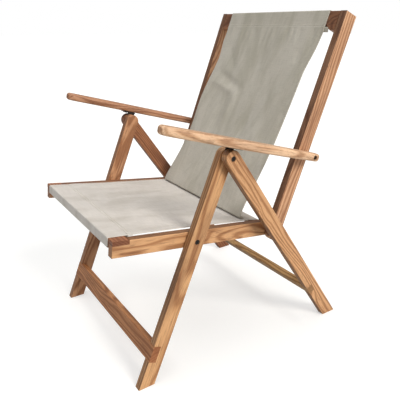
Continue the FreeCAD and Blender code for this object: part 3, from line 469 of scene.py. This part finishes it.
# The far right-hand boards' darker tones are painted shade; the other tones mix the boards' own colours with
# painted light and shade.
TIMBERS = {                        # lean, length, place, tone (own colour with painted light and shade), bands, knots, face shade (painted shade)
    "front_leg_left": (front_tilt, "z", (0.31, 0.07, 0.4), (1.0, 0.98, 0.92), 24.0, 0.86, 0.55),
    "front_leg_right": (front_tilt, "z", (0.83, 0.21, 1.9), SHADED_REDDISH, 30.0, 0.92, 0.35),
    "front_stretcher": (front_tilt, "x", (0.12, 0.43, 3.1), (1.08, 0.86, 0.70), 22.0, 0.9, 0.35),
    "rear_leg_left": (rear_tilt, "z", (0.57, 0.33, 4.7), PLAIN, 22.0, 0.62, 0.6),
    "rear_leg_right": (rear_tilt, "z", (0.05, 0.61, 5.6), (0.54, 0.40, 0.36), 28.0, 0.9, 0.3),
    "rear_stretcher": (rear_tilt, "x", (0.44, 0.15, 6.4), GREENISH, 26.0, 0.9, 0.2),
    "seat_rail_left": (seat_tilt, "y", (0.71, 0.52, 7.3), PLAIN, 34.0, 0.66, 0.85),
    "seat_rail_right": (seat_tilt, "y", (0.26, 0.82, 8.8), SHADED_REDDISH, 26.0, 0.9, 0.6),
    "seat_front_rail": (seat_tilt, "x", (0.63, 0.11, 9.5), (0.62, 0.46, 0.44), 30.0, 0.95, 0.4),
    "back_stile_left": (back_tilt, "z", (0.19, 0.93, 10.2), (1.04, 1.04, 1.18), 20.0, 0.9, 0.95),
    "back_stile_right": (back_tilt, "z", (0.48, 0.37, 11.7), (0.86, 0.80, 0.84), 26.0, 0.9, 0.9),
    "back_top_rail": (back_tilt, "x", (0.92, 0.64, 12.4), (0.62, 0.48, 0.44), 24.0, 0.95, 0.6),
    "armrest_left": (arm_tilt, "y", (0.37, 0.28, 13.9), LIT_PALE, 20.0, 0.92, 0.0),
    "armrest_right": (arm_tilt, "y", (0.66, 0.75, 14.6), (0.80, 0.73, 0.84), 26.0, 0.95, 0.0),
}
for node, (tilt, along, shift, tone, bands, knots, face_shade) in TIMBERS.items():
    name = "oiled " + node.replace("_", " ")
    finish_node(node, oiled_timber(name, tilt, along, shift, tone, bands, knots, face_shade))

DOWELS = {
    "front_stretcher_dowels": (front_tilt, "y"),
    "rear_stretcher_dowels": (rear_tilt, "y"),
    "front_rail_dowels": (seat_tilt, "z"),
    "top_rail_dowels": (back_tilt, "x"),
    "sling_rear_rod": (seat_tilt, "x"),
}
BEECH = (1.25, 1.55, 2.0)
NO_KNOTS = 1.1
for node, (tilt, along) in DOWELS.items():
    name = "turned beech " + node.replace("_", " ")
    place = (0.5, 0.2, 0.0)
    finish_node(node, oiled_timber(name, tilt, along, place, BEECH, 40.0, NO_KNOTS, 0.0))

# ---- hardware ------------------------------------------------------------------------------


def hardware_finish(name, colour, worn_colour, metallic, low_rough, high_rough):
    material, graph, shader = new_material(name)
    coordinates = graph.node("ShaderNodeTexCoord")
    wear = graph.node("ShaderNodeGroup", {}, node_tree=METAL_WEAR)
    graph.tree.links.new(coordinates.outputs["Object"], wear.inputs["Vector"])
    amount = graph.math("MULTIPLY", wear.outputs["Scuffs"], 0.5)
    graph.tree.links.new(graph.mix(amount, colour, worn_colour), shader.inputs["Base Color"])
    shader.inputs["Metallic"].default_value = metallic
    rough = graph.math("MULTIPLY_ADD", wear.outputs["Blotches"], high_rough - low_rough, low_rough)
    graph.tree.links.new(rough, shader.inputs["Roughness"])
    bump = graph.node(
        "ShaderNodeBump", {"Height": wear.outputs["Blotches"], "Strength": 0.2, "Distance": 0.0002}
    )
    graph.tree.links.new(bump.outputs["Normal"], shader.inputs["Normal"])
    return material


BLACKENED = hardware_finish(
    "blackened steel", (0.035, 0.030, 0.028, 1), (0.16, 0.13, 0.11, 1), 0.8, 0.35, 0.65
)
PLATED = hardware_finish(
    "plated steel", (0.50, 0.49, 0.47, 1), (0.30, 0.28, 0.26, 1), 1.0, 0.25, 0.5
)
for node in nodes:
    if "bolt" in node or "bracket" in node:
        finish_node(node, BLACKENED)
    elif node.endswith(("_nuts", "_washers", "_inserts")):
        finish_node(node, PLATED)

# ---- canvas finishes -----------------------------------------------------------------------


def canvas_finish(name, colour, soil_and_shade_colour):
    material, graph, shader = new_material(name)
    coordinates = graph.node("ShaderNodeTexCoord")
    weave = graph.node("ShaderNodeGroup", {}, node_tree=CANVAS_WEAVE)
    graph.tree.links.new(coordinates.outputs["Object"], weave.inputs["Vector"])
    # The second colour is the soiled colour; a darker version of it is also the painted shade in the weave's
    # hollows.
    soiled = graph.mix(graph.step(weave.outputs["Soiling"], 0.36, 0.74), colour, soil_and_shade_colour)
    darker = tuple(channel * 0.70 for channel in soil_and_shade_colour[:3]) + (1.0,)
    slubby = graph.math("MULTIPLY", graph.step(weave.outputs["Slubs"], 0.44, 0.66), 0.40)
    slubbed = graph.mix(slubby, soiled, darker)
    # Painted shade: the hollows between the threads are darkened.
    hollows = graph.math("SUBTRACT", 1.0, weave.outputs["Weave"])
    woven = graph.mix(graph.math("MULTIPLY", hollows, 0.16), slubbed, darker)
    graph.tree.links.new(woven, shader.inputs["Base Color"])
    shader.inputs["Roughness"].default_value = 0.9
    shader.inputs["Specular IOR Level"].default_value = 0.2
    shader.inputs["Sheen Weight"].default_value = 0.12
    shader.inputs["Sheen Roughness"].default_value = 0.5
    threads = graph.math("MULTIPLY", weave.outputs["Weave"], 0.5)
    height = graph.math("MULTIPLY_ADD", weave.outputs["Slubs"], 0.8, threads)
    bump = graph.node("ShaderNodeBump", {"Height": height, "Strength": 0.35, "Distance": 0.0005})
    graph.tree.links.new(bump.outputs["Normal"], shader.inputs["Normal"])
    return material


# Painted light: the seat canvas gets a lighter colour than the back canvas, for the light on its upward face.
SEAT_CANVAS = canvas_finish("seat canvas painted lighter", (0.670, 0.632, 0.590, 1), (0.540, 0.503, 0.452, 1))
BACK_CANVAS = canvas_finish("undyed canvas", (0.600, 0.566, 0.492, 1), (0.462, 0.434, 0.356, 1))
SELVAGE = canvas_finish("canvas selvage", (0.74, 0.71, 0.65, 1), (0.66, 0.63, 0.56, 1))
THREAD = canvas_finish("sewing thread", (0.84, 0.81, 0.74, 1), (0.74, 0.70, 0.62, 1))

# ---- canvas shapes -------------------------------------------------------------------------

CANVAS_THICKNESS = 0.0012
CANVAS_CLEARANCE = 0.0011          # timber face to the middle of the canvas
HALF_TIMBER = 0.0205               # half the width of a rail or stile
TURN_RADIUS = 0.0028               # canvas going round a timber's edge
LAYER = 0.0015                     # middle of one canvas layer to the next
ROW_STEP = 0.004
COLUMNS = 108
HEM_WIDTH = 0.016
HEM_STEP = 0.0009
STRAIGHT_ENOUGH = 0.02             # radians: a smaller turn keeps its plain corner
TURN_STEP = 0.26                   # radians of turn for each step round a corner


def in_frame(pivot, tilt, x, u, v):
    """A point at (u, v) in a timber frame's own axes."""
    return Vector(
        (
            x,
            pivot[1] + u * math.cos(tilt) - v * math.sin(tilt),
            pivot[2] + u * math.sin(tilt) + v * math.cos(tilt),
        )
    )


def on_seat(u, v, x=0.0):
    return in_frame(seat_pivot, seat_tilt, x, u, v)


def on_back(u, v, x=0.0):
    return in_frame(back_pivot, back_tilt, x, u, v)


def round_corners(points, radii):
    """A route through the points with each inner corner turned on a smooth curve."""
    route = [points[0]]
    for index in range(1, len(points) - 1):
        before, corner, after = points[index - 1], points[index], points[index + 1]
        way_in, way_out = (corner - before).normalized(), (after - corner).normalized()
        turn = way_in.angle(way_out)
        if turn < STRAIGHT_ENOUGH:
            route.append(corner)
            continue
        shortest = min((corner - before).length, (after - corner).length)
        setback = min(radii[index] * math.tan(turn / 2), 0.48 * shortest)
        start, end = corner - way_in * setback, corner + way_out * setback
        steps = max(3, int(turn / TURN_STEP))
        for step in range(steps + 1):
            share = step / steps
            bend = start.lerp(corner, share)
            route.append(bend.lerp(corner.lerp(end, share), share))
    route.append(points[-1])
    return route


def spaced(route, longest):
    """The route with no step longer than longest."""
    result = [route[0]]
    for start, end in zip(route, route[1:]):
        count = max(1, math.ceil((end - start).length / longest))
        result += [start.lerp(end, step / count) for step in range(1, count + 1)]
    return result


def lengths_along(route):
    total, result = 0.0, [0.0]
    for start, end in zip(route, route[1:]):
        total += (end - start).length
        result.append(total)
    return result


def normals_of(route):
    """Unit normals in the YZ plane, to the left of the way the route runs."""
    result = []
    for index in range(len(route)):
        ahead = route[min(index + 1, len(route) - 1)]
        behind = route[max(index - 1, 0)]
        way = (ahead - behind).normalized()
        result.append(Vector((0.0, -way.z, way.y)))
    return result


def smooth(value, low, high):
    share = min(1.0, max(0.0, (value - low) / (high - low)))
    return share * share * (3 - 2 * share)


def ridge(x, along, start, end, width, height):
    """A soft crease from start to end. Each is (x in metres, share along the panel)."""
    a, b, p = Vector(start), Vector(end), Vector((x, along))
    way = b - a
    share = min(1.0, max(0.0, (p - a).dot(way) / way.length_squared))
    distance = (p - (a + way * share)).length
    fade = math.sin(math.pi * min(1.0, max(0.0, 0.08 + 0.84 * share)))
    return height * math.exp(-((distance / width) ** 2)) * fade


def creased(x, share, creases):
    """Height of all the soft creases there."""
    return sum(
        ridge(x, share, start, end, width, height) for start, end, width, height in creases
    )


def side_hem(x, half_width):
    """The doubled cloth along each side."""
    return HEM_STEP * smooth(abs(x), half_width - HEM_WIDTH - 0.003, half_width - HEM_WIDTH)


def make_cloth(name, finish, route, edge, lift):
    """A canvas strip swept along the route. edge(s, side) is the half width there, and
    lift(x, s) how far the cloth stands off the route."""
    route = spaced(route, ROW_STEP)
    along, normals = lengths_along(route), normals_of(route)
    mesh = bpy.data.meshes.new(name)
    shaped = bmesh.new()
    rows = []
    for point, s, normal in zip(route, along, normals):
        row = []
        for column in range(COLUMNS + 1):
            share = 2 * column / COLUMNS - 1
            x = share * edge(s, 1 if share > 0 else -1)
            row.append(shaped.verts.new(point + normal * lift(x, s) + Vector((x, 0, 0))))
        rows.append(row)
    for row, following in zip(rows, rows[1:]):
        for left, right, far_right, far_left in zip(row, row[1:], following[1:], following):
            shaped.faces.new((left, right, far_right, far_left))
    for face in shaped.faces:
        face.smooth = True
    shaped.to_mesh(mesh)
    shaped.free()
    piece = bpy.data.objects.new(name, mesh)
    scene.collection.objects.link(piece)
    mesh.materials.append(finish)
    mesh.materials.append(SELVAGE)
    thicken = piece.modifiers.new("thickness", "SOLIDIFY")
    thicken.thickness = CANVAS_THICKNESS
    thicken.material_offset_rim = 1
    thicken.offset = 0.0
    return piece, along[-1]


STITCH_LENGTH = 0.0034
STITCH_GAP = 0.0010
THREAD_RADIUS = 0.00055
STITCH_SIDES = 6
STITCH_RINGS = 5


def make_stitches(name, row, outward):
    """A row of thread stitches along a list of points; outward is the cloth's normal there."""
    mesh = bpy.data.meshes.new(name)
    shaped = bmesh.new()
    along = lengths_along(row)
    pitch = STITCH_LENGTH + STITCH_GAP

    def at(distance):
        index = max(0, min(len(row) - 2, sum(1 for s in along if s <= distance) - 1))
        span = along[index + 1] - along[index]
        return row[index].lerp(row[index + 1], (distance - along[index]) / span)

    for number in range(int(along[-1] / pitch)):
        begin = number * pitch + STITCH_GAP / 2
        rings = []
        for ring in range(STITCH_RINGS):
            share = ring / (STITCH_RINGS - 1)
            centre = at(begin + share * STITCH_LENGTH)
            way = (at(begin + STITCH_LENGTH) - at(begin)).normalized()
            side = way.cross(outward).normalized()
            swell = math.sin(math.pi * share)
            centre = centre + outward * (THREAD_RADIUS * (1.3 * swell - 0.4))
            radius = THREAD_RADIUS * (0.55 + 0.45 * swell)
            ring_points = []
            for corner in range(STITCH_SIDES):
                angle = 2 * math.pi * corner / STITCH_SIDES
                spot = centre + side * (radius * math.cos(angle)) + outward * (radius * math.sin(angle))
                ring_points.append(shaped.verts.new(spot))
            rings.append(ring_points)
        for ring, following in zip(rings, rings[1:]):
            for corner in range(STITCH_SIDES):
                after = (corner + 1) % STITCH_SIDES
                shaped.faces.new((ring[corner], ring[after], following[after], following[corner]))
        shaped.faces.new(list(reversed(rings[0])))
        shaped.faces.new(rings[-1])
    bmesh.ops.recalc_face_normals(shaped, faces=shaped.faces)
    for face in shaped.faces:
        face.smooth = True
    shaped.to_mesh(mesh)
    shaped.free()
    piece = bpy.data.objects.new(name, mesh)
    scene.collection.objects.link(piece)
    mesh.materials.append(THREAD)
    return piece


# ---- seat canvas ---------------------------------------------------------------------------

FRONT_RAIL_WIDTH = 0.042
FRONT_RAIL_DEPTH = 0.022
FRONT_HEM = 0.050                  # front edge to the sleeve's seam
RETURN = 0.012                     # cloth turned back past a seam
TUCK_DEPTH = 0.0011                # dip along the stitches of the front hem
TUCK_PLACE = 0.058
TUCK_WIDTH = 0.0045
rail_front = -0.213
front_rail_rear = rail_front + FRONT_RAIL_WIDTH
front_rail_under = HALF_TIMBER - FRONT_RAIL_DEPTH
rod_u, rod_v, rod_radius = 0.228, HALF_TIMBER - 0.010, 0.007
hem_u = rail_front + FRONT_HEM
crease_u = 0.1747                  # the seam between seat and back
top_v = HALF_TIMBER + CANVAS_CLEARANCE
seat_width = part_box("sling_seat")[1][0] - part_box("sling_seat")[0][0]

SEAT_CREASES = (                   # (x, share from the front) twice, width, height
    ((-0.15, 0.25), (0.02, 0.60), 0.024, 0.0026),
    ((0.03, 0.30), (0.16, 0.52), 0.022, -0.0022),
    ((-0.05, 0.62), (0.12, 0.74), 0.020, 0.0024),
    ((-0.19, 0.22), (-0.185, 0.62), 0.014, 0.0020),
    ((-0.10, 0.45), (-0.12, 0.80), 0.022, -0.0018),
    ((0.17, 0.24), (0.10, 0.40), 0.018, 0.0020),
    ((0.15, 0.60), (0.19, 0.86), 0.020, -0.0020),
)


def make_seat_canvas():
    clear = CANVAS_CLEARANCE
    corners = [
        on_seat(hem_u + RETURN, top_v - LAYER),
        on_seat(hem_u, top_v - LAYER),
        on_seat(front_rail_rear + clear, front_rail_under - clear),
        on_seat(rail_front - clear, front_rail_under - clear),
        on_seat(rail_front - clear, top_v),
        on_seat(hem_u, top_v),
        on_seat(rod_u + rod_radius + clear, rod_v + rod_radius + clear),
        on_seat(rod_u + rod_radius + clear, rod_v - rod_radius - clear),
        on_seat(rod_u - RETURN, rod_v - rod_radius - clear),
        on_seat(rod_u - 0.034, top_v - LAYER - 0.001),
    ]
    radii = [0, 0.002, TURN_RADIUS, TURN_RADIUS, TURN_RADIUS, 0.01, 0.0075, 0.0075, 0.01, 0]
    route = round_corners(corners, radii)
    top_start = (corners[0] - corners[1]).length + sum(
        (a - b).length for a, b in zip(corners[1:4], corners[2:5])
    )
    top_start = top_start - 0.006
    top_end = top_start + (rod_u - rail_front)

    def edge(s, side):
        wave = 0.0016 * noise.noise(Vector((side * 3.7, s * 9.0, 1.3)))
        neck = 0.003 * math.sin(math.pi * smooth(s, top_start, top_end))
        return seat_width / 2 - 0.001 - neck + wave

    def lift(x, s):
        share = (s - top_start) / (top_end - top_start)
        if share <= 0.05 or share >= 1.0:
            return 0.0
        tuck = TUCK_DEPTH * math.exp(-(((s - top_start - TUCK_PLACE) / TUCK_WIDTH) ** 2))
        ease = smooth(share, 0.12, 0.2) * (1 - smooth(share, 0.93, 1.0))
        belly = -0.0050 * math.sin(math.pi * share) * (1 - (x / 0.225) ** 2)
        folds = creased(x, share, SEAT_CREASES)
        ripple = 0.0009 * noise.noise(Vector((x * 20.0, s * 13.0, 4.0)))
        return ease * (belly + folds + ripple + side_hem(x, seat_width / 2)) - tuck

    piece, length = make_cloth("seat_canvas", SEAT_CANVAS, route, edge, lift)
    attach(piece, "seat_frame")
    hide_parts("sling_seat", "sling_front_sleeve", "sling_rear_sleeve")
    return piece, length


def seat_row(u, inset):
    """Points across the seat canvas's top face, for a seam."""
    half = seat_width / 2 - inset
    return [
        on_seat(u, top_v + CANVAS_THICKNESS / 2, x=-half + 2 * half * step / 60)
        for step in range(61)
    ]


seat_canvas, seat_length = make_seat_canvas()
seat_up = Vector((0, -math.sin(seat_tilt), math.cos(seat_tilt)))
hem_rows = [
    make_stitches("front_hem_stitching_%d" % number, seat_row(hem_u + step, 0.003), seat_up)
    for number, step in enumerate((0.0015, 0.0085), start=1)
]
for row in hem_rows:
    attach(row, "seat_frame")

# ---- back canvas ---------------------------------------------------------------------------

STILE_SET_BACK = 0.0029            # the back pivot to the middle of the stile's width
SEAM_BELOW_RAIL = 0.0045
SEWN_TO_SEAT = 0.016               # the back canvas past its seam on the seat
stile_front = STILE_SET_BACK - HALF_TIMBER
TOP_RAIL_THICKNESS = 0.022
TOP_RAIL_DEPTH = 0.0385
rail_rear = stile_front + TOP_RAIL_THICKNESS
stile_top = 0.600
rail_under = stile_top - TOP_RAIL_DEPTH
back_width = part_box("sling_back_upper")[1][0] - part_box("sling_back_upper")[0][0]
EDGES = {                          # half width at shares of the panel, from the top
    1: ((0.0, 0.2135), (0.10, 0.2125), (0.24, 0.2060), (0.33, 0.2075), (0.62, 0.2050), (1.0, 0.2110)),
    -1: ((0.0, 0.2150), (0.09, 0.2190), (0.22, 0.2060), (0.45, 0.2090), (0.66, 0.2010), (1.0, 0.2120)),
}


def eased(points, share):
    """Value at share of a smooth line through (share, value) points."""
    for (low, first), (high, second) in zip(points, points[1:]):
        if share <= high:
            return first + (second - first) * smooth(share, low, high)
    return points[-1][1]


BACK_CREASES = (                   # (x, share from the top) twice, width, height
    ((-0.166, 0.285), (-0.035, 0.372), 0.020, 0.0036),
    ((-0.185, 0.345), (-0.050, 0.405), 0.020, -0.0028),
    ((-0.045, 0.385), (-0.052, 0.600), 0.015, -0.0034),
    ((-0.080, 0.420), (-0.092, 0.660), 0.017, 0.0036),
    ((-0.170, 0.100), (-0.100, 0.270), 0.020, 0.0030),
    ((0.155, 0.120), (0.158, 0.200), 0.010, 0.0026),
    ((0.190, 0.240), (0.100, 0.460), 0.023, -0.0032),
    ((0.020, 0.080), (-0.010, 0.300), 0.026, 0.0024),
    ((0.060, 0.450), (0.050, 0.800), 0.021, 0.0032),
    ((0.115, 0.520), (0.130, 0.850), 0.022, -0.0030),
    ((-0.160, 0.940), (-0.060, 0.740), 0.024, 0.0030),
    ((0.160, 0.940), (0.020, 0.740), 0.025, -0.0030),
)
INNER_LAYER_END = 0.052            # length of the sleeve's hidden layer, from its raw edge
INNER_LAYER_SHOWING = 0.013        # how far that layer stands out on the sitter's left


def make_back_canvas():
    clear = CANVAS_CLEARANCE
    seam_v = rail_under - SEAM_BELOW_RAIL
    crease = on_seat(crease_u, top_v + LAYER)
    corners = [
        on_back(stile_front - clear + LAYER * 2.6, seam_v - 0.013),
        on_back(stile_front - clear + LAYER, seam_v),
        on_back(rail_rear + clear, rail_under - clear),
        on_back(rail_rear + clear, stile_top + clear),
        on_back(stile_front - clear, stile_top + clear),
        on_back(stile_front - clear, rail_under),
        crease,
        on_seat(crease_u + SEWN_TO_SEAT, top_v + LAYER),
    ]
    radii = [0, 0.002, TURN_RADIUS, TURN_RADIUS, TURN_RADIUS, 0.03, 0.0035, 0]
    route = round_corners(corners, radii)
    panel = (corners[6] - corners[5]).length
    tail = (corners[7] - corners[6]).length
    total = lengths_along(spaced(route, ROW_STEP))[-1]
    panel_start = total - tail - panel

    def edge(s, side):
        share = (s - panel_start) / panel
        wave = 0.0012 * noise.noise(Vector((side * 5.1, s * 11.0, 7.7)))
        hidden = smooth(s, INNER_LAYER_END - 0.02, INNER_LAYER_END)
        showing = INNER_LAYER_SHOWING * (1 - hidden) * (side > 0)
        return eased(EDGES[side], min(1.0, max(0.0, share))) + wave + showing

    def lift(x, s):
        share = (s - panel_start) / panel
        if share <= 0.0 or share >= 1.0:
            return 0.0
        ease = smooth(share, 0.0, 0.05) * (1 - smooth(share, 0.96, 1.0))
        across = x / 0.213
        belly = 0.010 * math.sin(math.pi * share) * (1 - 0.25 * across**2)
        curl = 0.004 * abs(across) ** 6 * math.sin(2 * math.pi * (share * 1.6 + 0.2 * (x > 0)))
        folds = creased(x, share, BACK_CREASES)
        pucker = 0.0016 * math.sin(x * 190.0 + 2.0 * math.sin(x * 61.0))
        pucker *= 1 - smooth(share, 0.03, 0.13)
        ripple = 0.0018 * noise.noise(Vector((x * 16.0, s * 7.0, 2.0)))
        return ease * (belly + curl + folds + pucker + ripple + side_hem(x, 0.2085))

    piece, length = make_cloth("back_canvas", BACK_CANVAS, route, edge, lift)
    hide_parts("sling_back_lower", "sling_back_upper", "sling_top_sleeve")
    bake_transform(piece)
    return piece, length, seam_v


back_canvas, back_length, seam_v = make_back_canvas()
back_out = Vector((0, -math.cos(back_tilt), -math.sin(back_tilt)))


def back_row(v, inset):
    half = back_width / 2 - inset
    skin = stile_front - CANVAS_CLEARANCE - CANVAS_THICKNESS / 2
    return [on_back(skin, v, x=-half + 2 * half * step / 60) for step in range(61)]


sleeve_rows = [
    make_stitches("top_sleeve_stitching_%d" % number, back_row(seam_v + rise, 0.004), back_out)
    for number, rise in enumerate((0.0, 0.006), start=1)
]
for row in sleeve_rows:
    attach(row, "back_frame")
